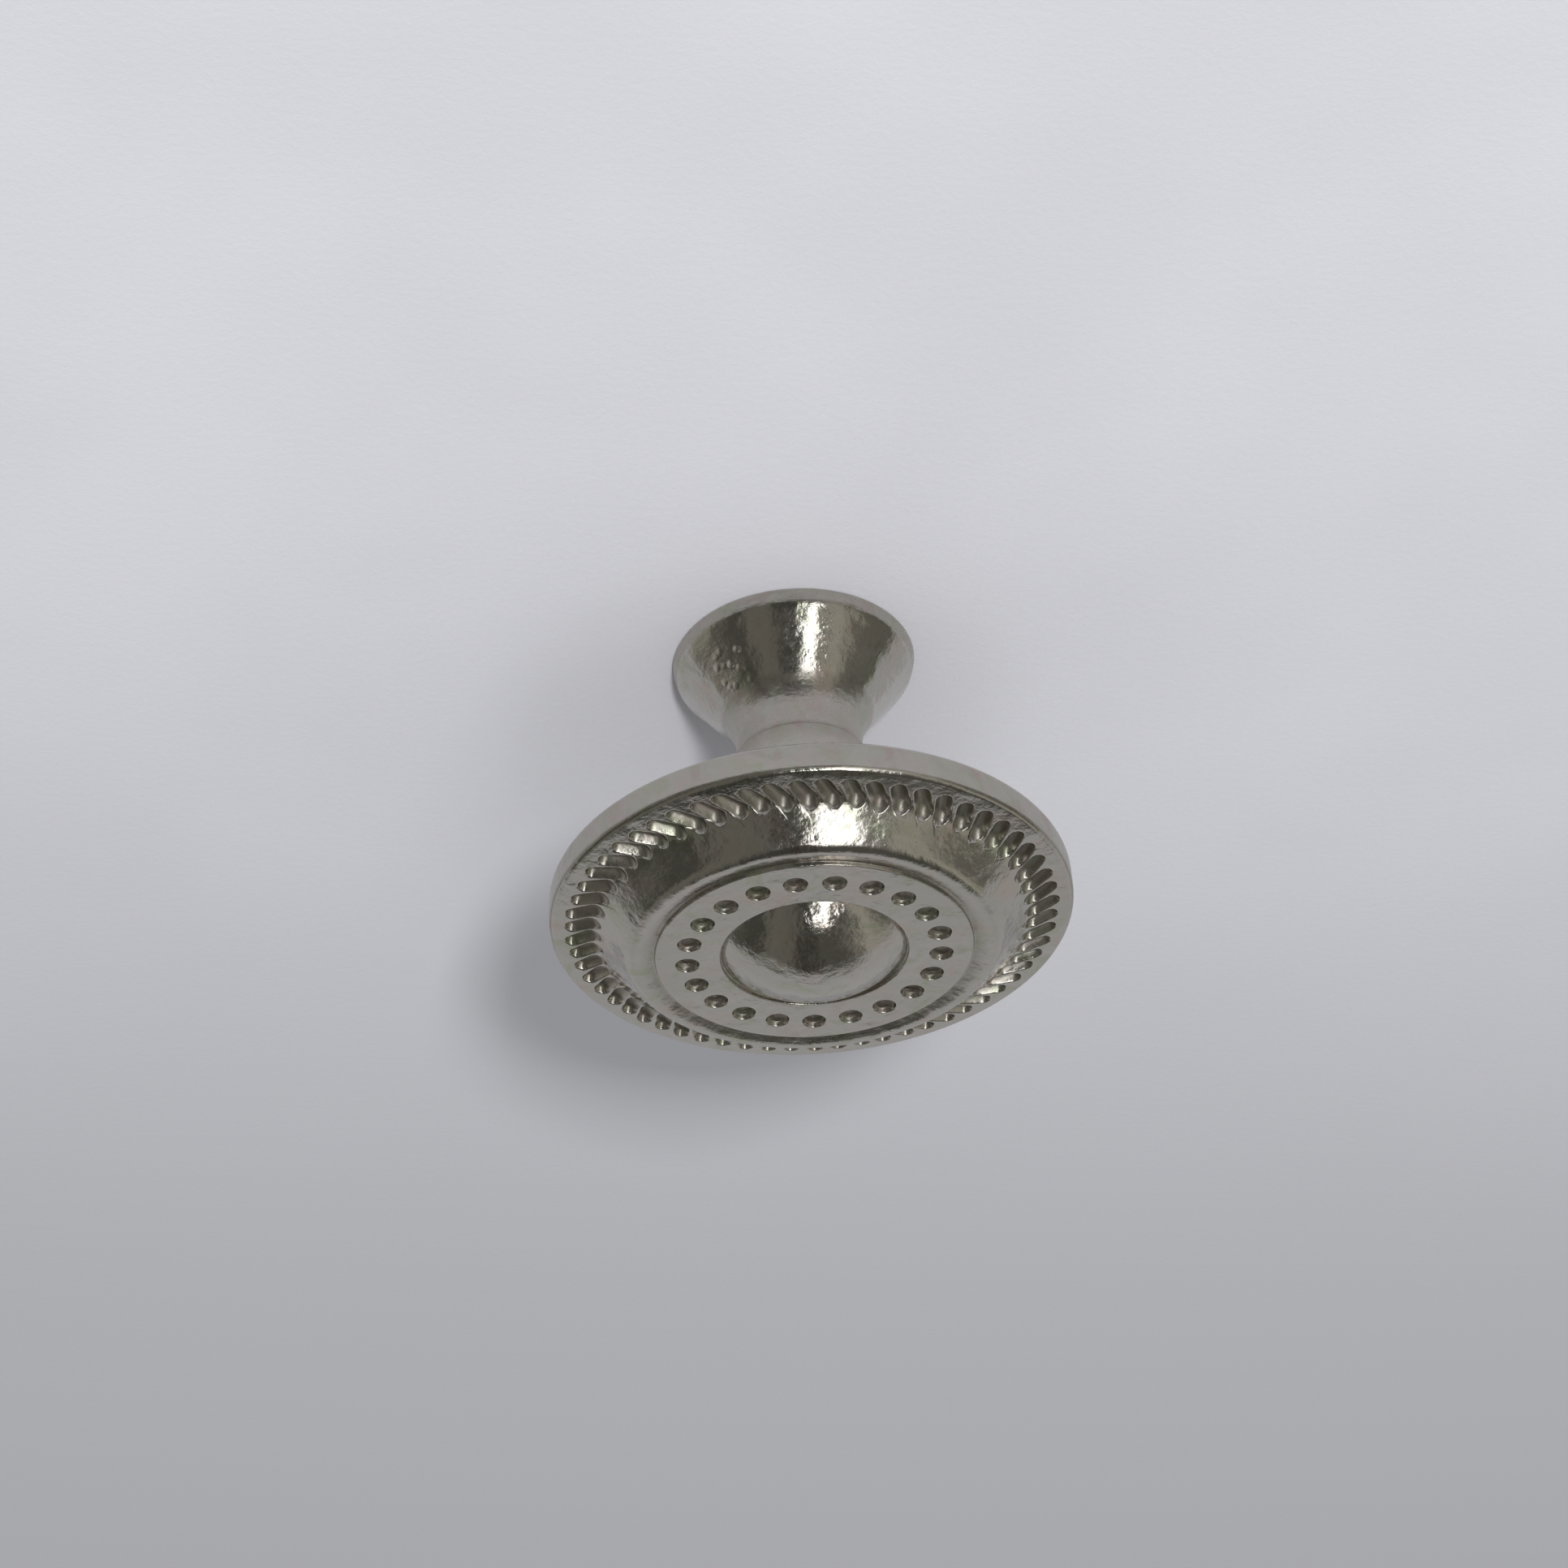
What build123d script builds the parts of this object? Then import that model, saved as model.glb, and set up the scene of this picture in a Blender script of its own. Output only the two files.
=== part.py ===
from build123d import *
import os
from math import radians, tan

# Cabinet knob: one die casting, drilled and tapped from behind for a machine screw.
# Millimetres. The knob's axis is Z. Its flat mounting face is the plane z = 0, and the
# decorated face looks up +Z. Radii are measured from the axis, and depths on the head are
# measured down from the flat ring that carries the dimples.

# Head
HEAD_RADIUS = 16.0
FACE_HEIGHT = 22.25         # mounting face to the flat ring
RING_RADIUS = 9.65          # outer edge of the flat ring
RECESS_RADIUS = 5.75        # its inner edge, where the dome sits
DOME_RISE = 2.1             # top of the dome above the flat ring
DOME_DROP = 0.42            # edge of the dome below it
VALLEY_RADIUS = 9.9         # bottom of the shallow valley round the flat ring
VALLEY_DEPTH = 0.3
CREST_RADIUS = 11.1         # the shoulder rises to a rounded crest here, then falls away
CREST_RISE = 0.05           # above the flat ring, before the crest is rounded
CREST_ROUND = 0.9
LIP_RADIUS = 15.55          # crest of the plain lip outside the rope
LIP_WIDTH = 0.25
LIP_DEPTH = 2.2
RIM_BACK_DEPTH = 4.5
RIM_CHAMFER = 0.45

# Roped border: a level band, gouged all round by oblique cuts with sloping walls
BAND_INNER_RADIUS = 13.45
BAND_OUTER_RADIUS = 15.1
BAND_DEPTH = 2.35
GOUGES = 61
GOUGE_MIDDLE_RADIUS = 13.98
GOUGE_DEPTH = 0.45
GOUGE_WIDTH = 1.12          # leaves a narrow crest between neighbours
GOUGE_STRAIGHT = 1.2        # length of the full width
GOUGE_POINT = 0.5           # length of each pointed end beyond it
GOUGE_CLEARANCE = 0.9       # height of the cutter above the band
GOUGE_LEAN = 29.0           # degrees that each cut leans away from the radial direction
GOUGE_PHASE = 5.0           # degrees from the first dimple to the first gouge

# Dimples
DIMPLES = 21
DIMPLE_CIRCLE_RADIUS = 7.75
DIMPLE_RADIUS = 0.75
DIMPLE_FLOOR_RADIUS = 0.55
DIMPLE_DEPTH = 0.36
FIRST_DIMPLE = -90.0        # degrees, on the -Y side

# Stem and foot
COLLAR_RADIUS = 4.2
COLLAR_HEIGHT = 7.8         # the collar's lower edge
STEM_ROUND = 3.0            # cove from the collar into the conical back of the head
BACK_SLOPE = 20.0           # degrees
NECK_RADIUS = 3.95
NECK_ROUND = 4.5
FOOT_RADIUS = 7.8
FOOT_CHAMFER = 0.2
FOOT_EDGE_RADIUS = 7.55     # the foot's edge narrows to this where the cone begins
FOOT_EDGE_HEIGHT = 1.0
FOOT_CONE_HEIGHT = 5.45     # where the cone would meet the neck if nothing were rounded

# Tapped hole for an M4 screw, as a plain bore of its tapping size
BORE_RADIUS = 1.65
BORE_DEPTH = 11.0
BORE_CHAMFER = 0.35
DRILL_POINT_HEIGHT = 1.0

RIM_FRONT_HEIGHT = FACE_HEIGHT - LIP_DEPTH
RIM_BACK_HEIGHT = FACE_HEIGHT - RIM_BACK_DEPTH


def back_outline():
    """The outline from the axis along the mounting face, then up the foot and stem to the rim."""
    back_edge = HEAD_RADIUS - RIM_CHAMFER
    stem_top = RIM_BACK_HEIGHT - (back_edge - COLLAR_RADIUS) * tan(radians(BACK_SLOPE))
    foot = FilletPolyline(
        (0, 0),
        (FOOT_RADIUS - FOOT_CHAMFER, 0),
        (FOOT_RADIUS, FOOT_CHAMFER),
        (FOOT_EDGE_RADIUS, FOOT_EDGE_HEIGHT),
        (NECK_RADIUS, FOOT_CONE_HEIGHT),
        (NECK_RADIUS, COLLAR_HEIGHT),
        radius=(0, 0, 0, NECK_ROUND),
    )
    collar = Line(foot @ 1, (COLLAR_RADIUS, COLLAR_HEIGHT))
    return FilletPolyline(
        collar @ 1,
        (COLLAR_RADIUS, stem_top),
        (back_edge, RIM_BACK_HEIGHT),
        radius=STEM_ROUND,
    )


def rim_outline(start):
    """The outline round the rim and over its lip, down to the roped band and across it."""
    return Polyline(
        start,
        (HEAD_RADIUS, RIM_BACK_HEIGHT + RIM_CHAMFER),
        (HEAD_RADIUS, RIM_FRONT_HEIGHT - RIM_CHAMFER),
        (LIP_RADIUS, RIM_FRONT_HEIGHT),
        (LIP_RADIUS - LIP_WIDTH, RIM_FRONT_HEIGHT),
        (BAND_OUTER_RADIUS, FACE_HEIGHT - BAND_DEPTH),
        (BAND_INNER_RADIUS, FACE_HEIGHT - BAND_DEPTH),
    )


def face_outline(start):
    """The outline of the face, from the roped band over the shoulder and the dome to the axis."""
    shoulder = FilletPolyline(
        start,
        (CREST_RADIUS, FACE_HEIGHT + CREST_RISE),
        (VALLEY_RADIUS, FACE_HEIGHT - VALLEY_DEPTH),
        radius=CREST_ROUND,
    )
    ring = Polyline(
        shoulder @ 1,
        (RING_RADIUS, FACE_HEIGHT),
        (RECESS_RADIUS, FACE_HEIGHT),
        (RECESS_RADIUS, FACE_HEIGHT - DOME_DROP),
    )
    rise = DOME_RISE + DOME_DROP
    dome_radius = (RECESS_RADIUS**2 + rise**2) / (2 * rise)
    dome = RadiusArc(ring @ 1, (0, FACE_HEIGHT + DOME_RISE), -dome_radius)
    Line(dome @ 1, (0, 0))


# One cut of the rope, about its own middle: a pointed bar standing on the floor of the cut, its
# lower edges cut away at 45 degrees so that the walls slope
straight = GOUGE_STRAIGHT / 2
tip = straight + GOUGE_POINT
half_width = GOUGE_WIDTH / 2
with BuildPart() as gouge:
    with BuildSketch():
        Polygon(
            (-tip, 0),
            (-straight, -half_width),
            (straight, -half_width),
            (tip, 0),
            (straight, half_width),
            (-straight, half_width),
            rotation=GOUGE_LEAN,
        )
    extrude(amount=GOUGE_DEPTH + GOUGE_CLEARANCE)
    chamfer(gouge.faces().sort_by(Axis.Z)[0].edges(), GOUGE_DEPTH)

with BuildPart() as knob:
    # The turned form, one outline about the axis
    with BuildSketch(Plane.XZ):
        with BuildLine():
            back = back_outline()
            rim = rim_outline(back @ 1)
            face_outline(rim @ 1)
        make_face()
    revolve(axis=Axis.Z)

    # Ring of dimples
    with Locations((0, 0, FACE_HEIGHT)):
        with PolarLocations(DIMPLE_CIRCLE_RADIUS, DIMPLES, start_angle=FIRST_DIMPLE):
            Cone(
                DIMPLE_FLOOR_RADIUS,
                DIMPLE_RADIUS,
                DIMPLE_DEPTH,
                align=(Align.CENTER, Align.CENTER, Align.MAX),
                mode=Mode.SUBTRACT,
            )

    # Rope: the same oblique gouge, all round the band
    with Locations((0, 0, FACE_HEIGHT - BAND_DEPTH - GOUGE_DEPTH)):
        with PolarLocations(GOUGE_MIDDLE_RADIUS, GOUGES, start_angle=FIRST_DIMPLE + GOUGE_PHASE):
            add(gouge.part, mode=Mode.SUBTRACT)

    # Tapped hole from behind
    with BuildSketch(Plane.XZ):
        with BuildLine():
            Polyline(
                (0, 0),
                (BORE_RADIUS + BORE_CHAMFER, 0),
                (BORE_RADIUS, BORE_CHAMFER),
                (BORE_RADIUS, BORE_DEPTH),
                (0, BORE_DEPTH + DRILL_POINT_HEIGHT),
                close=True,
            )
        make_face()
    revolve(axis=Axis.Z, mode=Mode.SUBTRACT)

knob.part.label = "knob"
os.makedirs("parts", exist_ok=True)
export_step(knob.part, "parts/knob.step")
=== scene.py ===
import math
import random

import bpy
from mathutils import Matrix, Vector


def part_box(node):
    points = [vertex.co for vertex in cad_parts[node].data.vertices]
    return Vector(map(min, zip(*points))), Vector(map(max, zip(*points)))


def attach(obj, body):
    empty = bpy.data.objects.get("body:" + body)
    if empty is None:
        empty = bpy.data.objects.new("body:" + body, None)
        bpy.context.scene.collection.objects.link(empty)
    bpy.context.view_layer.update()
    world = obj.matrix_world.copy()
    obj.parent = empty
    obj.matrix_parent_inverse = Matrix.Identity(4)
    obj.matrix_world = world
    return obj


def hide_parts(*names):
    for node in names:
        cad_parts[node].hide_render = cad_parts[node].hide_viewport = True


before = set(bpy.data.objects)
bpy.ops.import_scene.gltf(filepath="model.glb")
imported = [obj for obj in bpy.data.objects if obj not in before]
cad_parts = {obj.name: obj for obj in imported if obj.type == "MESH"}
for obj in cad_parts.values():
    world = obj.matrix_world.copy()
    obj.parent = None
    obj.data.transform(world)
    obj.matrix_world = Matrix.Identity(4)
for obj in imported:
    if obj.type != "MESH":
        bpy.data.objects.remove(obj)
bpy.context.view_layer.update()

# Lengths are in millimetres until the mesh is made. Radii are measured from the knob's axis,
# which is Z, and depths on the head are measured down from the flat ring that has the dimples.
MM = 0.001
low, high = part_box("knob")

# Head
HEAD_RADIUS = (high[0] - low[0]) / 2 / MM
DOME_RISE = 2.1
FACE_HEIGHT = high[2] / MM - DOME_RISE
DOME_DROP = 0.42
RECESS_RADIUS = 5.75
RING_RADIUS = 9.65
VALLEY_RADIUS = 9.9
VALLEY_DEPTH = 0.25
CREST_RADIUS = 11.1
CREST_DEPTH = -0.05             # before the crest is rounded
CREST_ROUND = 1.1
LIP_ROUND = 0.4
RIM_BACK_DEPTH = 4.5

# Rope: a band that falls a little outwards, gouged all round by oblique cuts with sloping walls
BAND_INNER_RADIUS = 13.25
BAND_INNER_DEPTH = 2.03
BAND_FALL = 0.14
BAND_SOFTNESS = 0.3             # rounding of the corner between the shoulder and the band
GOUGES = 61
GOUGE_COLUMNS = 16
GOUGE_ROWS = 20
GOUGE_DEPTH = 0.5
GOUGE_HALF_WIDTH = 0.53
GOUGE_TAPER = 0.06              # a cut is narrower towards the lip
GOUGE_CURVE = 1.7               # 2 is a parabola, and 1 a straight-sided notch
GOUGE_WALL = 4.0                # steepness of a cut's walls beyond its half width
GOUGE_MIDDLE = 14.08
GOUGE_HALF_LENGTH = 0.63
GOUGE_TILT = 0.16               # fall of a cut's floor towards the lip
GOUGE_REACH = 0.75              # the mesh rows of a cut reach at least this far from its middle
GOUGE_LEAN = math.radians(34)
GOUGE_PHASE = math.radians(5)
ROPE_INNER_RADIUS = 12.4        # the rope's own patch of the mesh lies between these two circles
ROPE_OUTER_RADIUS = 15.36
ROPE_OUTER_ROWS = 5
ROPE_INNER_SHARES = (0.04, 0.12, 0.3, 0.6, 1)   # where the rows inside the cuts lie
COLUMN_CROWDING = 0.09          # how far the columns crowd towards a cut's edges
EDGE_SOFTNESS = 0.07

# Dimples
DIMPLES = 21
DIMPLE_SIDE_COLUMNS = 8
DIMPLE_CIRCLE_RADIUS = 7.75
DIMPLE_RADIUS = 0.75
DIMPLE_FLOOR_RADIUS = 0.56
DIMPLE_DEPTH = 0.42
DIMPLE_LEAN = 0.13              # largest slope of a dimple's floor
DIMPLE_SOFTNESS = 0.11
DIMPLE_LIFT = 0.004             # keeps the softened edge of a dimple level with the ring
DIMPLE_ROUNDS = (0.97, 0.86, 0.8, 0.77, 0.745, 0.72, 0.69, 0.63, 0.52, 0.38, 0.2)
DIMPLE_PATCH = (6.55, 8.95)     # radii of the circles between which the dimples' patch lies
FIRST_DIMPLE = math.radians(-90)

# Stem and foot
COLLAR_RADIUS = 4.2
COLLAR_HEIGHT = 7.8
COLLAR_STEP = 0.08
COLLAR_TOP = 11.3
NECK_RADIUS = 3.95
NECK_ROUND = 4.5
FOOT_RADIUS = 7.8
FOOT_ROUND = 0.25
FOOT_EDGE_RADIUS = 7.55
FOOT_EDGE_HEIGHT = 1.0
FOOT_EDGE_ROUND = 1.0
FOOT_CONE_HEIGHT = 5.45
FOOT_FACE_RADIUS = 2.6          # innermost ring of the mounting face

# Back of the head
COVE_HEIGHT = 13.53
COVE_ROUND = 3.0
BACK_INSET = 2
BACK_DROP = 0.58
BACK_EDGE_LIFT = 0.15
BACK_EDGE_ROUND = 0.7

# The patch of blisters on the foot
BLISTER_RADIUS = 5.7
BLISTER_AZIMUTH = math.radians(-38)
BLISTER_HEIGHT = 3.2

# Tapped hole
BORE_RADIUS = 1.65
BORE_DEPTH = 11.0
BORE_CHAMFER = 0.35
DRILL_POINT = 1.0
THREAD_PITCH = 0.7
THREAD_DEPTH = 0.3
THREAD_ROWS = 150
THREAD_START = 0.3              # plain length between the bore's bottom and the thread

# Rings of points round each stretch of the surface
BORE_COLUMNS = 48
FOOT_COLUMNS = 240
HEAD_COLUMNS = 244
RING_COLUMNS = DIMPLES * DIMPLE_SIDE_COLUMNS
DOME_ROWS = 26
DOME_SPARSE_ROWS = 4            # rows next to the dome's tip, which have fewer columns
LONGEST_ROW = 0.45
CORNER_TURN = math.radians(9)   # about the turn from point to point round a corner

# Grime and painted shade in the hollows, and painted shade on the rim, collar, neck and foot's
# edge, from 0 to 1
RIM_SHADE = 0.5
GOUGE_GRIME_AND_SHADE = 0.8
VALLEY_GRIME_AND_SHADE = 0.5
RECESS_SHADE = 0.5
COLLAR_LINE_SHADE = 0.8
COLLAR_SHADE = 0.6
FOOT_SHADE = 0.4
SHADE_LINE_WIDTH = 0.12              # of the lines of painted shade in sharp corners
FACE_REACH = 1                  # the face's hollows lie less than this below the flat ring,
ROPE_REACH = 3.2                # the rope less than this,
BACK_REACH = 3                  # and the back of the head more than this


def soft_min(a, b, softness):
    """The smaller of a and b, with the corner between them rounded."""
    blend = max(softness - abs(a - b), 0) / softness
    return min(a, b) - blend * blend * softness / 4


def rounded(corners):
    """Points along a line through corners (radius, height, rounding), at most a row apart."""
    path = [Vector(corners[0][:2])]
    for before, corner, after in zip(corners, corners[1:], corners[2:]):
        middle = Vector(corner[:2])
        way_in = (Vector(before[:2]) - middle).normalized()
        way_out = (Vector(after[:2]) - middle).normalized()
        rounding = corner[2]
        if rounding == 0:
            path.append(middle)
            continue
        half = way_in.angle(way_out) / 2
        centre = middle + (way_in + way_out).normalized() * rounding / math.sin(half)
        start = middle + way_in * rounding / math.tan(half) - centre
        sweep = start.angle_signed(middle + way_out * rounding / math.tan(half) - centre)
        pieces = max(3, round(abs(sweep) / CORNER_TURN))
        for k in range(pieces + 1):
            path.append(centre + Matrix.Rotation(-sweep * k / pieces, 2) @ start)
    path.append(Vector(corners[-1][:2]))
    return divided(path)


def divided(path):
    """The same line with its long runs divided into rows."""
    points = [path[0]]
    for a, b in zip(path, path[1:]):
        pieces = max(1, math.ceil((b - a).length / LONGEST_ROW))
        points += [a.lerp(b, k / pieces) for k in range(1, pieces + 1)]
    return points


class Skin:
    """The surface of the knob, gathered ring by ring along its outline."""

    def __init__(self):
        self.points = []
        self.faces = []
        self.last = None

    def add(self, points):
        first = len(self.points)
        self.points += points
        return list(range(first, len(self.points)))

    def ring(self, points):
        """Adds a closed ring of points and the faces that join it to the ring before."""
        ring = self.add(points)
        if self.last:
            if len(self.last) == len(ring):
                self.quads(self.last, ring)
            else:
                self.triangles(self.last, ring)
        self.last = ring

    def circle(self, radius, height, columns, radius_at=None):
        """A level ring. radius_at(angle), if given, is its radius all round."""
        points = []
        for k in range(columns):
            angle = FIRST_DIMPLE + math.tau * k / columns
            r = radius_at(angle) if radius_at else radius
            points.append(Vector((r * math.cos(angle), r * math.sin(angle), height)))
        self.ring(points)

    def circles(self, outline, columns):
        for r, z in outline:
            self.circle(r, z, columns)

    def tip(self, height):
        """Closes the surface at a point on the axis."""
        tip = self.add([Vector((0, 0, height))])[0]
        for k, index in enumerate(self.last):
            self.faces.append((index, self.last[(k + 1) % len(self.last)], tip))

    def start_tip(self, height, radius, ring_height, columns):
        """Opens the surface at a point on the axis."""
        tip = self.add([Vector((0, 0, height))])[0]
        self.circle(radius, ring_height, columns)
        for k, index in enumerate(self.last):
            self.faces.append((tip, self.last[(k + 1) % columns], index))

    def quads(self, a, b):
        count = len(a)
        for k in range(count):
            n = (k + 1) % count
            self.faces.append((a[k], a[n], b[n], b[k]))

    def triangles(self, a, b):
        """Joins two rings that have different numbers of points, in the order of their angles."""
        start = self.turn(a[0], 0)
        b_first = min(range(len(b)), key=lambda k: self.turn(b[k], start))
        b = b[b_first:] + b[:b_first]
        a_turns = [self.turn(k, start) for k in a] + [math.tau]
        b_turns = [self.turn(k, start) for k in b] + [math.tau + self.turn(b[0], start)]
        a_turns[0] = 0
        i = j = 0
        while i < len(a) or j < len(b):
            a_now, b_now = a[i % len(a)], b[j % len(b)]
            if j == len(b) or (i < len(a) and a_turns[i + 1] <= b_turns[j + 1]):
                self.faces.append((a_now, a[(i + 1) % len(a)], b_now))
                i += 1
            else:
                self.faces.append((a_now, b[(j + 1) % len(b)], b_now))
                j += 1

    def turn(self, index, start):
        """Angle of a point about the axis, from start, between 0 and a full turn."""
        point = self.points[index]
        return (math.atan2(point.y, point.x) - start) % math.tau


def add_bore(skin):
    """The tapped hole, from the tip of its drill point down to its mouth."""
    tip = BORE_DEPTH + DRILL_POINT
    first_ring = BORE_DEPTH + DRILL_POINT * 3 / 4
    skin.start_tip(tip, BORE_RADIUS / 4, first_ring, BORE_COLUMNS)
    skin.circle(BORE_RADIUS * 0.97, BORE_DEPTH + 0.03, BORE_COLUMNS)
    skin.circle(BORE_RADIUS, BORE_DEPTH - 0.03, BORE_COLUMNS)
    top, bottom = BORE_DEPTH - THREAD_START, BORE_CHAMFER
    for k in range(THREAD_ROWS + 1):
        height = top + (bottom - top) * k / THREAD_ROWS
        fade = min(1, (top - height) / THREAD_PITCH)

        def thread(angle):
            wave = 0.5 + 0.5 * math.cos(math.tau * height / THREAD_PITCH - angle)
            return BORE_RADIUS + THREAD_DEPTH * fade * wave

        skin.circle(None, height, BORE_COLUMNS, thread)
    skin.circle(BORE_RADIUS + THREAD_DEPTH + 0.05, 0.05, BORE_COLUMNS)
    skin.circle(BORE_RADIUS + THREAD_DEPTH + 0.15, 0, BORE_COLUMNS)


def add_stem(skin):
    """From the mounting face up the foot, neck and collar, and round the rim to the rope."""
    back = FACE_HEIGHT - RIM_BACK_DEPTH
    foot = rounded([
        (FOOT_FACE_RADIUS, 0, 0),
        (FOOT_RADIUS, 0, FOOT_ROUND),
        (FOOT_EDGE_RADIUS, FOOT_EDGE_HEIGHT, FOOT_EDGE_ROUND),
        (NECK_RADIUS, FOOT_CONE_HEIGHT, NECK_ROUND),
        (NECK_RADIUS, COLLAR_HEIGHT, 0.05),
        (COLLAR_RADIUS, COLLAR_HEIGHT + COLLAR_STEP, 0.06),
        (COLLAR_RADIUS, COLLAR_TOP, 0),
    ])
    skin.circles(foot, FOOT_COLUMNS)
    cove = rounded([
        (COLLAR_RADIUS, COLLAR_TOP, 0),
        (COLLAR_RADIUS, COVE_HEIGHT, COVE_ROUND),
        (HEAD_RADIUS - BACK_INSET, back - BACK_DROP, 0),
        (HEAD_RADIUS, back + BACK_EDGE_LIFT, BACK_EDGE_ROUND),
        (HEAD_RADIUS, band_height(HEAD_RADIUS), LIP_ROUND),
        (ROPE_OUTER_RADIUS, band_height(ROPE_OUTER_RADIUS), 0),
    ])
    skin.circles(cove[1:-1], HEAD_COLUMNS)


def band_height(radius):
    """Height of the shoulder's slope and of the band below it, before the gouges are cut."""
    slope = (BAND_INNER_DEPTH - CREST_DEPTH) / (BAND_INNER_RADIUS - CREST_RADIUS)
    shoulder = CREST_DEPTH + slope * (radius - CREST_RADIUS)
    band = BAND_INNER_DEPTH + BAND_FALL * (radius - BAND_INNER_RADIUS)
    return FACE_HEIGHT - soft_min(shoulder, band, BAND_SOFTNESS)


def gouge_angle(radius):
    """How far round the axis a gouge's middle line has leant at this radius."""
    return math.atan2((radius - GOUGE_MIDDLE) * math.tan(GOUGE_LEAN), radius)


class Gouge:
    """One cut of the rope. Each differs a little from the others, as they do in the photo."""

    def __init__(self, number, chance):
        self.angle = FIRST_DIMPLE + GOUGE_PHASE + math.tau * number / GOUGES
        self.angle += math.radians(chance.uniform(-0.12, 0.12))
        self.half_length = GOUGE_HALF_LENGTH + chance.uniform(-0.05, 0.05)
        self.middle = GOUGE_MIDDLE + chance.uniform(-0.04, 0.04)
        self.depth = GOUGE_DEPTH + chance.uniform(-0.04, 0.03)
        self.lean = GOUGE_LEAN + math.radians(chance.uniform(-4, 4))
        self.lopsided = chance.uniform(-0.12, 0.12)

    def height(self, radius, angle):
        """Height of the cutter's underside over a place on the face."""
        turn = angle - self.angle
        x = radius * math.cos(turn) - self.middle
        y = radius * math.sin(turn)
        along = x * math.cos(self.lean) + y * math.sin(self.lean)
        across = y * math.cos(self.lean) - x * math.sin(self.lean)
        off = math.hypot(max(abs(along) - self.half_length, 0), across + self.lopsided * 0.1)
        half_width = GOUGE_HALF_WIDTH - GOUGE_TAPER * along
        wall = max(off - half_width, 0)
        off = min(off, half_width)
        rise = self.depth * (off / half_width) ** GOUGE_CURVE + wall * GOUGE_WALL
        return band_height(GOUGE_MIDDLE) - self.depth - GOUGE_TILT * along + rise


def add_rope(skin, gouges):
    """The gouged band. Its columns lean with the gouges and its rows follow their rims."""
    columns = []
    for number in range(GOUGES):
        for k in range(GOUGE_COLUMNS):
            share = k / GOUGE_COLUMNS
            share -= COLUMN_CROWDING * math.sin(math.tau * share)
            turn = FIRST_DIMPLE + GOUGE_PHASE + math.tau * (number + share - 0.5) / GOUGES
            cutters = [gouges[(number + step) % GOUGES] for step in (-1, 0, 1)]
            columns.append(rope_column(turn, cutters))
    for row in zip(*columns):
        skin.ring(list(row))


def rope_column(turn, cutters):
    """Points from the lip's foot inwards to the shoulder, along one leaning column."""
    def depth(radius):
        angle = turn + gouge_angle(radius)
        return band_height(radius) - min(cutter.height(radius, angle) for cutter in cutters)

    outer = crossing(depth, ROPE_OUTER_RADIUS - 0.01, GOUGE_MIDDLE)
    inner = crossing(depth, ROPE_INNER_RADIUS + 0.3, GOUGE_MIDDLE)
    outer = max(outer, GOUGE_MIDDLE + GOUGE_REACH)
    inner = min(inner, GOUGE_MIDDLE - GOUGE_REACH)
    radii = []
    for k in range(ROPE_OUTER_ROWS):
        radii.append(ROPE_OUTER_RADIUS + (outer - ROPE_OUTER_RADIUS) * k / ROPE_OUTER_ROWS)
    for k in range(GOUGE_ROWS + 1):
        share = k / GOUGE_ROWS
        share = share * share * (3 - 2 * share)
        radii.append(outer + (inner - outer) * share)
    radii += [inner + (ROPE_INNER_RADIUS - inner) * share for share in ROPE_INNER_SHARES]
    points = []
    for radius in radii:
        angle = turn + gouge_angle(radius)
        height = band_height(radius)
        for cutter in cutters:
            height = soft_min(height, cutter.height(radius, angle), EDGE_SOFTNESS)
        points.append(Vector((radius * math.cos(angle), radius * math.sin(angle), height)))
    return points


def crossing(depth, plain, cut):
    """The radius between plain and cut where depth changes sign."""
    for _ in range(24):
        middle = (plain + cut) / 2
        if depth(middle) > 0:
            cut = middle
        else:
            plain = middle
    return plain


def add_shoulder(skin):
    """From the rope's patch up the shoulder, over its crest and the valley to the flat ring."""
    face = FACE_HEIGHT
    start = (ROPE_INNER_RADIUS, band_height(ROPE_INNER_RADIUS), 0)
    outline = rounded([
        start,
        (CREST_RADIUS, face - CREST_DEPTH, CREST_ROUND),
        (VALLEY_RADIUS, face - VALLEY_DEPTH, 0.2),
        (RING_RADIUS + 0.08, face - VALLEY_DEPTH + 0.02, 0.05),
        (RING_RADIUS, face, 0.08),
        (DIMPLE_PATCH[1], face, 0),
    ])
    skin.circles(outline[1:-1], HEAD_COLUMNS)


def dimple_depth(off, deepest):
    """How far a dimple has sunk at a distance from its middle."""
    if off >= DIMPLE_RADIUS:
        return 0
    wall = DIMPLE_DEPTH / (DIMPLE_RADIUS - DIMPLE_FLOOR_RADIUS)
    sunk = soft_min(deepest, (DIMPLE_RADIUS - off) * wall, DIMPLE_SOFTNESS)
    return max(0, sunk - DIMPLE_LIFT)


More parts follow.
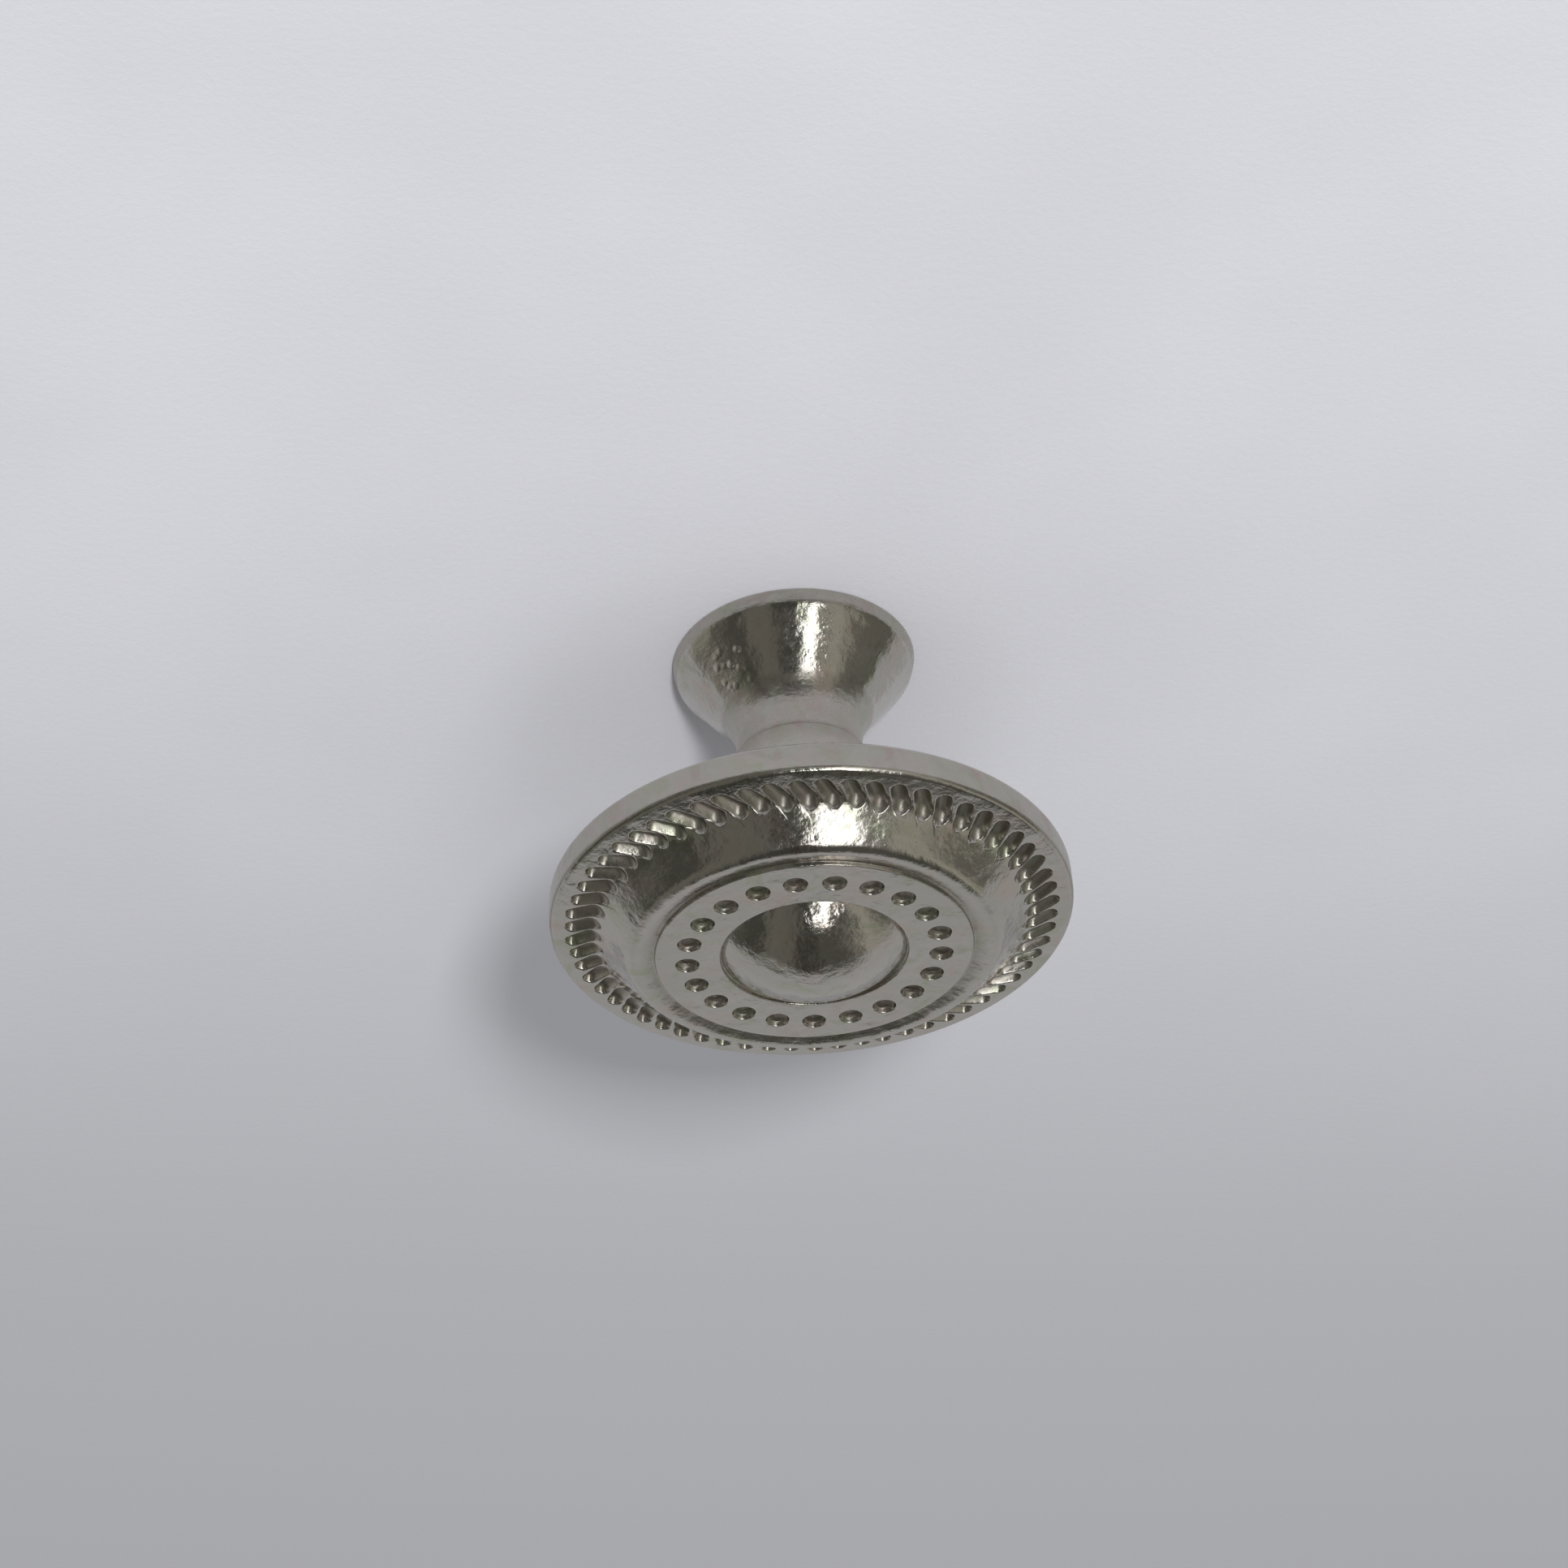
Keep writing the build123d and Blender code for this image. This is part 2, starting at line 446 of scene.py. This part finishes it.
def add_dimples(skin):
    """The flat ring: a patch of mesh for each dimple, round inside and four-sided outside."""
    inner, outer = DIMPLE_PATCH
    skin.circle(outer, FACE_HEIGHT, RING_COLUMNS)
    half = math.pi / DIMPLES
    sides = DIMPLE_SIDE_COLUMNS
    chance = random.Random(21)
    for number in range(DIMPLES):
        deepest = DIMPLE_DEPTH * chance.uniform(0.85, 1.05)
        lean_x = chance.uniform(-DIMPLE_LEAN, DIMPLE_LEAN)
        lean_y = chance.uniform(-DIMPLE_LEAN, DIMPLE_LEAN)
        lean = Vector((lean_x, lean_y, 0))
        turn = FIRST_DIMPLE + math.tau * number / DIMPLES
        centre = Vector((math.cos(turn), math.sin(turn), 0)) * DIMPLE_CIRCLE_RADIUS
        edge = []
        for k in range(sides):
            edge.append((inner + (outer - inner) * k / sides, -half))
        for k in range(sides):
            edge.append((outer, -half + 2 * half * k / sides))
        for k in range(sides):
            edge.append((outer + (inner - outer) * k / sides, half))
        for k in range(sides):
            edge.append((inner, half - 2 * half * k / sides))
        rim = []
        for r, angle in edge:
            x, y = r * math.cos(turn + angle), r * math.sin(turn + angle)
            rim.append(Vector((x, y, FACE_HEIGHT)))
        ring = skin.add(rim)
        for off in DIMPLE_ROUNDS:
            points = []
            for k in range(4 * sides):
                angle = turn + math.radians(-135) + math.tau * k / (4 * sides)
                out = Vector((math.cos(angle) * off, math.sin(angle) * off, 0))
                depth = dimple_depth(off, deepest + lean.dot(out))
                points.append(centre + out + Vector((0, 0, FACE_HEIGHT - depth)))
            following = skin.add(points)
            skin.quads(ring, following)
            ring = following
        lowest = FACE_HEIGHT - dimple_depth(0, deepest)
        bottom = skin.add([centre + Vector((0, 0, lowest))])[0]
        for k, index in enumerate(ring):
            skin.faces.append((index, ring[(k + 1) % len(ring)], bottom))
    skin.last = None
    skin.circle(inner, FACE_HEIGHT, RING_COLUMNS)


def add_dome(skin):
    """From the flat ring over the recess's edge and the dome to the axis."""
    face = FACE_HEIGHT
    outline = rounded([
        (DIMPLE_PATCH[0], face, 0),
        (RECESS_RADIUS, face, 0.07),
        (RECESS_RADIUS - 0.04, face - DOME_DROP, 0),
    ])
    skin.circles(outline[1:], RING_COLUMNS)
    rise = DOME_RISE + DOME_DROP
    ball = (RECESS_RADIUS ** 2 + rise ** 2) / (2 * rise)
    widest = math.asin(RECESS_RADIUS / ball)
    for k in range(1, DOME_ROWS):
        tilt = widest * (1 - k / DOME_ROWS)
        radius = ball * math.sin(tilt)
        columns = RING_COLUMNS
        if k > DOME_ROWS - DOME_SPARSE_ROWS:
            columns = RING_COLUMNS // 4
        skin.circle(radius, face + DOME_RISE - ball * (1 - math.cos(tilt)), columns)
    skin.tip(face + DOME_RISE)


def knob_mesh():
    chance = random.Random(61)
    gouges = [Gouge(number, chance) for number in range(GOUGES)]
    skin = Skin()
    add_bore(skin)
    add_stem(skin)
    add_rope(skin, gouges)
    add_shoulder(skin)
    add_dimples(skin)
    add_dome(skin)
    mesh = bpy.data.meshes.new("turned_knob")
    mesh.from_pydata([point * MM for point in skin.points], [], skin.faces)
    return mesh


# ---------------------------------------------------------------------------------------------
# Finish
# ---------------------------------------------------------------------------------------------

def grime_and_shade_at(point):
    """How dark a point's plating is made, from 0 to 1: tarnish and painted shade down in the
    hollows, and painted shade alone on the rim, collar, neck and foot's edge.
    """
    radius = math.hypot(point.x, point.y)
    below = FACE_HEIGHT - point.z
    on_face = below < FACE_REACH
    above_collar = point.z - COLLAR_HEIGHT
    # Painted shade: the rim is darkened as if it mirrored a shaded floor.
    if radius > HEAD_RADIUS - 0.1:
        return RIM_SHADE
    if point.z > FACE_HEIGHT + 0.01 or below > BACK_REACH and point.z > BORE_DEPTH:
        return 0
    # In the gouges: tarnish, and painted shade that darkens them deeper down.
    if BAND_INNER_RADIUS - 0.8 < radius < ROPE_OUTER_RADIUS and below < ROPE_REACH:
        return GOUGE_GRIME_AND_SHADE * min(1, max(0, band_height(radius) - point.z) / GOUGE_DEPTH)
    # In the dimples: tarnish, and painted shade that darkens them deeper down.
    if abs(radius - DIMPLE_CIRCLE_RADIUS) < DIMPLE_RADIUS and on_face:
        return min(1, below / DIMPLE_DEPTH)
    # In the valley round the flat ring: tarnish, and painted shade that darkens it deeper down.
    if RING_RADIUS - 0.05 < radius < CREST_RADIUS and on_face:
        return VALLEY_GRIME_AND_SHADE * min(1, max(0, below - VALLEY_DEPTH / 4) / VALLEY_DEPTH)
    # Painted shade: a dark line in the corner round the dome's recess.
    if RECESS_RADIUS - SHADE_LINE_WIDTH < radius < RECESS_RADIUS + 0.02 and on_face:
        return RECESS_SHADE * min(1, below / DOME_DROP)
    # Painted shade: a dark line in the corner where the collar steps out.
    if abs(above_collar) < SHADE_LINE_WIDTH:
        return COLLAR_LINE_SHADE
    # Painted shade on the collar, fading upwards.
    if COLLAR_HEIGHT < point.z < BORE_DEPTH and radius < COLLAR_RADIUS + 1:
        return COLLAR_SHADE * (1 - above_collar / (BORE_DEPTH - COLLAR_HEIGHT))
    # Painted shade on the foot's edge, in place of its pale reflection of the floor.
    if FOOT_EDGE_HEIGHT > point.z:
        return FOOT_SHADE
    # Painted shade on the neck, as if it mirrored the floor shaded by the head.
    if COLLAR_HEIGHT + 0.5 > point.z and radius < NECK_RADIUS + 0.9:
        return FOOT_SHADE
    return 0


class Nodes:
    """Short ways to add nodes to a material or world and link them."""

    def __init__(self, owner):
        owner.use_nodes = True
        self.tree = owner.node_tree
        self.tree.nodes.clear()

    def add(self, kind, inputs=None, **settings):
        node = self.tree.nodes.new(kind)
        for name, value in settings.items():
            setattr(node, name, value)
        for name, value in (inputs or {}).items():
            self.set(node, name, value)
        return node

    def set(self, node, name, value):
        """Gives an input a value, or links it if the value is another node's output."""
        if isinstance(value, bpy.types.NodeSocket):
            self.tree.links.new(value, node.inputs[name])
        else:
            node.inputs[name].default_value = value

    def noise(self, place, size, detail=2.0, roughness=0.5, distortion=0.0):
        """Noise with features of about this size in millimetres."""
        inputs = {
            "Vector": place,
            "Scale": 1 / (size * MM),
            "Detail": detail,
            "Roughness": roughness,
            "Distortion": distortion,
        }
        return self.add("ShaderNodeTexNoise", inputs).outputs["Fac"]

    def between(self, value, low, high, to_low=0.0, to_high=1.0):
        """value, taken smoothly from low..high to to_low..to_high."""
        inputs = {
            "Value": value,
            "From Min": low,
            "From Max": high,
            "To Min": to_low,
            "To Max": to_high,
        }
        node = self.add("ShaderNodeMapRange", inputs, interpolation_type="SMOOTHSTEP")
        return node.outputs["Result"]

    def math(self, operation, a, b):
        return self.add("ShaderNodeMath", {0: a, 1: b}, operation=operation).outputs["Value"]

    def mix(self, share, a, b):
        """A colour between a and b."""
        node = self.add("ShaderNodeMix", data_type="RGBA")
        self.set(node, "Factor", share)
        for socket, value in ((6, a), (7, b)):
            self.set(node, socket, value)
        return node.outputs[2]

    def bump(self, height, depth, normal=None):
        """Bumps whose height of 0 to 1 stands for this depth in millimetres."""
        inputs = {"Height": height, "Distance": depth * MM, "Strength": 1.0}
        node = self.add("ShaderNodeBump", inputs)
        if normal:
            self.set(node, "Normal", normal)
        return node.outputs["Normal"]


def outward(nodes, place, length):
    """A vector of this length in millimetres, level and away from the axis."""
    flat = nodes.add("ShaderNodeVectorMath", {0: place, 1: (1, 1, 0)}, operation="MULTIPLY")
    way = nodes.add("ShaderNodeVectorMath", {0: flat.outputs["Vector"]}, operation="NORMALIZE")
    inputs = {0: way.outputs["Vector"], "Scale": length * MM}
    return nodes.add("ShaderNodeVectorMath", inputs, operation="SCALE").outputs["Vector"]


def turning_lines(nodes, place, turn_length, size):
    """Lines round the axis, as a lathe tool leaves them, shorter the larger turn_length is."""
    split = nodes.add("ShaderNodeSeparateXYZ", {"Vector": place})
    x, y, z = (split.outputs[axis] for axis in "XYZ")
    square = nodes.math("ADD", nodes.math("MULTIPLY", x, x), nodes.math("MULTIPLY", y, y))
    radius = nodes.math("POWER", square, 0.5)
    along = nodes.math("ADD", radius, nodes.math("MULTIPLY", z, 1.7))
    lift = nodes.add("ShaderNodeCombineXYZ", {"Z": along}).outputs["Vector"]
    spot = nodes.add("ShaderNodeVectorMath", {0: outward(nodes, place, turn_length), 1: lift})
    return nodes.noise(spot.outputs["Vector"], size, detail=3, roughness=0.6)


def flutes(nodes, place):
    """Broad unevenness that runs up and down the stem."""
    return nodes.noise(outward(nodes, place, 5), 1.6, detail=1)


def on_foot(nodes, place):
    """1 on the foot and neck, and 0 from the collar up."""
    height = nodes.add("ShaderNodeSeparateXYZ", {"Vector": place}).outputs["Z"]
    return nodes.between(height, (COLLAR_HEIGHT - 0.3) * MM, COLLAR_HEIGHT * MM, 1, 0)


def blisters(nodes, place):
    """Small blisters that the casting has on one side of its foot."""
    middle = direction(BLISTER_AZIMUTH, 0) * BLISTER_RADIUS + Vector((0, 0, BLISTER_HEIGHT))
    off = nodes.add("ShaderNodeVectorMath", {0: place, 1: middle * MM}, operation="DISTANCE")
    near = nodes.between(off.outputs["Value"], 0.8 * MM, 2.0 * MM, 1, 0)
    cells = nodes.add("ShaderNodeTexVoronoi", {"Vector": place, "Scale": 1 / (0.8 * MM)})
    spots = nodes.between(cells.outputs["Distance"], 0.05, 0.45, 1, 0)
    return nodes.math("MULTIPLY", near, spots)


NICKEL_DARK = (0.52, 0.50, 0.455, 1)
NICKEL_LIGHT = (0.56, 0.535, 0.495, 1)
NICKEL_GREEN = (0.445, 0.465, 0.36, 1)
NICKEL_PINK = (0.545, 0.475, 0.425, 1)
# Dark colours of tarnish and painted shade
GRIME_AND_SHADE_GREEN = (0.23, 0.24, 0.17, 1)
GRIME_AND_SHADE_BROWN = (0.26, 0.195, 0.18, 1)


def nickel():
    """Satin nickel plate over a zinc casting, a little worn and tarnished, with painted shade in
    its hollows and on its rim, collar, neck and foot's edge.
    """
    material = bpy.data.materials.new("satin_nickel_worn_and_shaded")
    nodes = Nodes(material)
    place = nodes.add("ShaderNodeTexCoord").outputs["Object"]
    grime_and_shade = nodes.add("ShaderNodeAttribute", attribute_name="grime_and_shade").outputs["Fac"]

    clouds = nodes.noise(place, 5, detail=4, roughness=0.6)
    patches = nodes.noise(place, 2.2, detail=3, roughness=0.6, distortion=0.6)
    specks = nodes.noise(place, 0.35, detail=3, roughness=0.7)
    lines = turning_lines(nodes, place, 0.4, 0.16)
    streaks = turning_lines(nodes, place, 2.2, 0.45)

    plate = nodes.mix(nodes.between(clouds, 0.35, 0.65), NICKEL_DARK, NICKEL_LIGHT)
    plate = nodes.mix(nodes.between(patches, 0.52, 0.70, 0, 0.8), plate, NICKEL_GREEN)
    plate = nodes.mix(nodes.between(patches, 0.48, 0.30, 0, 0.8), plate, NICKEL_PINK)
    # The darkening mixed into the plate, in olive and brown: tarnish in the hollows, and painted
    # shade there and on the rim, collar, neck and foot's edge.
    grime_and_shade_hue = nodes.noise(place, 1.1, detail=2)
    grime_and_shade_colour = nodes.mix(nodes.between(grime_and_shade_hue, 0.42, 0.58), GRIME_AND_SHADE_GREEN, GRIME_AND_SHADE_BROWN)
    grime_and_shade_share = nodes.math("MULTIPLY", grime_and_shade, nodes.between(patches, 0.25, 0.7, 0.95, 0.55))
    colour = nodes.mix(grime_and_shade_share, plate, grime_and_shade_colour)

    wear = nodes.between(clouds, 0.35, 0.7, 0.13, 0.21)
    dull = nodes.math("MULTIPLY", grime_and_shade, 0.38)
    grain = nodes.between(specks, 0.3, 0.7, -0.04, 0.04)
    roughness = nodes.math("ADD", nodes.math("ADD", wear, dull), grain)

    swell = nodes.noise(place, 2.1, detail=1)
    peel = nodes.noise(place, 0.9, detail=3, roughness=0.5, distortion=0.6)
    pits = nodes.math("MULTIPLY", nodes.between(grime_and_shade, 0.55, 1), nodes.noise(place, 0.4, detail=2))
    ripple = nodes.noise(place, 0.38, detail=2)
    stem = nodes.math("MULTIPLY", flutes(nodes, place), on_foot(nodes, place))
    normal = nodes.bump(swell, 0.12)
    normal = nodes.bump(stem, 0.05, normal)
    normal = nodes.bump(blisters(nodes, place), 0.07, normal)
    normal = nodes.bump(peel, 0.025, normal)
    normal = nodes.bump(streaks, 0.020, normal)
    normal = nodes.bump(ripple, 0.020, normal)
    normal = nodes.bump(pits, 0.10, normal)
    normal = nodes.bump(lines, 0.006, normal)
    normal = nodes.bump(specks, 0.010, normal)

    shader = nodes.add("ShaderNodeBsdfPrincipled", {
        "Base Color": colour,
        "Metallic": 1.0,
        "Roughness": roughness,
        "Normal": normal,
    })
    output = nodes.add("ShaderNodeOutputMaterial")
    nodes.tree.links.new(shader.outputs["BSDF"], output.inputs["Surface"])
    return material


def make_knob():
    mesh = knob_mesh()
    # Tarnish and painted shade, stored on the points for the material.
    grime_and_shade = mesh.attributes.new("grime_and_shade", "FLOAT", "POINT")
    grime_and_shade.data.foreach_set("value", [grime_and_shade_at(vertex.co / MM) for vertex in mesh.vertices])
    knob = bpy.data.objects.new("turned_knob", mesh)
    bpy.context.collection.objects.link(knob)
    merge = knob.modifiers.new("merge", "WELD")
    merge.merge_threshold = 0.001 * MM
    normals = knob.modifiers.new("normals", "WEIGHTED_NORMAL")
    normals.weight = 60
    mesh.shade_smooth()
    mesh.materials.append(nickel())
    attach(knob, "root")
    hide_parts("knob")


# ---------------------------------------------------------------------------------------------
# Studio
# ---------------------------------------------------------------------------------------------
# Directions from the knob are an azimuth, counter-clockwise from +X, and an elevation.
VIEW_AZIMUTH = math.radians(-79.34)
VIEW_ELEVATION = math.radians(35.12)
VIEW_ROLL = math.radians(176.07)
VIEW_DISTANCE = 0.220
VIEW_AIM = Vector((0.0022, -0.0055, 0.0136))
VIEW_LENS = 83.31
VIEW_SENSOR = 36.0

# Colours of the floor, and of the rest of the room
PAPER_DARK = (0.54, 0.54, 0.57, 1)
PAPER_LIGHT = (0.57, 0.57, 0.60, 1)
PAPER_PAINTED_SHADE = (0.42, 0.42, 0.44, 1)
FAR_WALL = (0.46, 0.46, 0.47, 1)
ROOM_LIGHT = (0.50, 0.505, 0.52, 1)

# Brightness of the room on the photographer's side, tuned against the photo. Each place is
# the cosine of its angle from the level direction a quarter turn counter-clockwise from the
# photographer.
ROOM = [
    (-1, 0.13),
    (-0.86, 0.16),
    (-0.74, 0.34),
    (-0.60, 0.42),
    (-0.50, 0.20),
    (-0.41, 0.12),
    (-0.34, 0.08),
    (-0.04, 0.10),
    (0.04, 0.035),
    (0.17, 0.07),
    (0.28, 0.15),
    (0.56, 0.17),
    (0.68, 0.07),
    (0.78, 0.08),
    (0.88, 0.13),
    (0.98, 0.32),
]


def direction(azimuth, elevation):
    level = math.cos(elevation)
    return Vector((level * math.cos(azimuth), level * math.sin(azimuth), math.sin(elevation)))


def facing(azimuth, elevation, roll=0.0):
    """The rotation of a camera or lamp that stands in this direction and looks back."""
    turn = Matrix.Rotation(azimuth + math.pi / 2, 4, "Z")
    tilt = Matrix.Rotation(math.pi / 2 - elevation, 4, "X")
    return turn @ tilt @ Matrix.Rotation(roll, 4, "Z")


def make_camera():
    camera = bpy.data.objects.new("camera", bpy.data.cameras.new("camera"))
    camera.data.sensor_width = VIEW_SENSOR
    camera.data.lens = VIEW_LENS
    camera.data.clip_start = 0.01
    place = VIEW_AIM + direction(VIEW_AZIMUTH, VIEW_ELEVATION) * VIEW_DISTANCE
    turn = facing(VIEW_AZIMUTH, VIEW_ELEVATION, VIEW_ROLL)
    camera.matrix_world = Matrix.Translation(place) @ turn
    bpy.context.collection.objects.link(camera)
    bpy.context.scene.camera = camera


def softbox(name, azimuth, elevation, distance, width, height, power, shown=True):
    """A rectangular lamp that faces the knob. Metal reflects it only if it is shown."""
    lamp = bpy.data.lights.new(name, "AREA")
    lamp.shape = "RECTANGLE"
    lamp.size = width
    lamp.size_y = height
    lamp.energy = power
    box = bpy.data.objects.new(name, lamp)
    box.visible_glossy = shown
    azimuth, elevation = math.radians(azimuth), math.radians(elevation)
    middle = Vector((0, 0, FACE_HEIGHT * MM))
    place = middle + direction(azimuth, elevation) * distance
    box.matrix_world = Matrix.Translation(place) @ facing(azimuth, elevation)
    bpy.context.collection.objects.link(box)


def make_floor():
    """A pale sheet. Its own colour gets darker towards +Y, in place of the photo's fading light."""
    bpy.ops.mesh.primitive_plane_add(size=4)
    floor = bpy.context.object
    floor.name = "floor"
    material = bpy.data.materials.new("pale_paper")
    nodes = Nodes(material)
    place = nodes.add("ShaderNodeTexCoord").outputs["Object"]
    cloudy = nodes.noise(place, 30, detail=3)
    split = nodes.add("ShaderNodeSeparateXYZ", {"Vector": place})
    paper = nodes.mix(nodes.between(cloudy, 0.3, 0.7), PAPER_DARK, PAPER_LIGHT)
    # Painted shade: the paper darkens towards +Y.
    colour = nodes.mix(nodes.between(split.outputs["Y"], -0.03, 0.09), paper, PAPER_PAINTED_SHADE)
    fibres = nodes.noise(place, 0.5, detail=4, roughness=0.7)
    shader = nodes.add("ShaderNodeBsdfPrincipled", {
        "Base Color": colour,
        "Roughness": 0.85,
        "Normal": nodes.bump(fibres, 0.02),
    })
    output = nodes.add("ShaderNodeOutputMaterial")
    nodes.tree.links.new(shader.outputs["BSDF"], output.inputs["Surface"])
    floor.data.materials.append(material)


def make_world():
    """A room that is darker on the photographer's side. Camera and metal see the same walls.

    Diffuse surfaces are lit by one even level instead.
    """
    world = bpy.data.worlds.new("room")
    bpy.context.scene.world = world
    nodes = Nodes(world)
    way = nodes.add("ShaderNodeTexCoord").outputs["Generated"]
    toward = nodes.add("ShaderNodeVectorMath", operation="DOT_PRODUCT")
    nodes.set(toward, 0, way)
    nodes.set(toward, 1, direction(VIEW_AZIMUTH, VIEW_ELEVATION))
    aside = nodes.add("ShaderNodeVectorMath", operation="DOT_PRODUCT")
    nodes.set(aside, 0, way)
    nodes.set(aside, 1, direction(VIEW_AZIMUTH + math.pi / 2, 0))

    share = nodes.math("MULTIPLY", nodes.math("ADD", aside.outputs["Value"], 1.0), 0.5)
    ramp = nodes.add("ShaderNodeValToRGB", {"Fac": share})
    ramp.color_ramp.interpolation = "EASE"
    stops = ramp.color_ramp.elements
    stops.remove(stops[1])
    for place, brightness in ROOM:
        stop = stops[0] if place == -1 else stops.new((place + 1) / 2)
        stop.color = (brightness * 1.03, brightness, brightness * 0.88, 1)
    near = nodes.between(toward.outputs["Value"], -0.26, -0.06)
    room = nodes.mix(near, FAR_WALL, ramp.outputs["Color"])

    rays = nodes.add("ShaderNodeLightPath")
    colour = nodes.mix(rays.outputs["Is Diffuse Ray"], room, ROOM_LIGHT)
    background = nodes.add("ShaderNodeBackground", {"Color": colour, "Strength": 1.0})
    output = nodes.add("ShaderNodeOutputWorld")
    nodes.tree.links.new(background.outputs["Background"], output.inputs["Surface"])


make_knob()
make_floor()
make_world()
make_camera()
# The metal shows the window. The other lamp stands low and only casts the shadow on the floor.
softbox("window", -103, 50, distance=0.6, width=0.16, height=0.58, power=0.78)
softbox("ceiling", -91, 26, distance=0.9, width=0.12, height=0.12, power=9.0, shown=False)
bpy.context.scene.view_settings.view_transform = "Standard"
